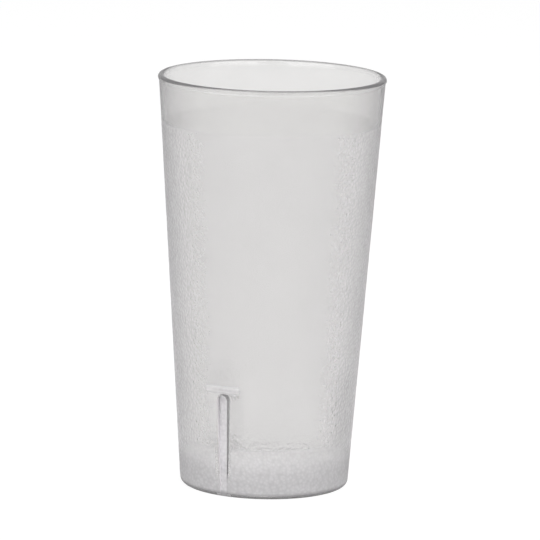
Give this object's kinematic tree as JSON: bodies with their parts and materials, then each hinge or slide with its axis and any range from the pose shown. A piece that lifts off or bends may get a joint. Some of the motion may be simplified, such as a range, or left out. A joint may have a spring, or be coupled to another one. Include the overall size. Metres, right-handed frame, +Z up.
{
  "type": "plastic tumbler cup",
  "caption": "Tall tapered stacking tumbler of clear pebbled plastic, with a beaded rim, a hollow under the floor and arched slots in the wall that form ledges inside.",
  "frame": {"origin": "middle of the base, in the plane of the ring that the tumbler stands on", "axes": "+Z up along the tumbler's axis, towards the rim; +X through the middle of one of the stacking slots"},
  "size_m": [0.086, 0.086, 0.1565],
  "materials": {
    "clear_plastic": "clear hard plastic with a faint haze: smooth inside and in a band under the rim, finely pebbled outside below that band"
  },
  "bodies": {
    "root": {"tumbler": "clear_plastic"}
  },
  "joints": []
}
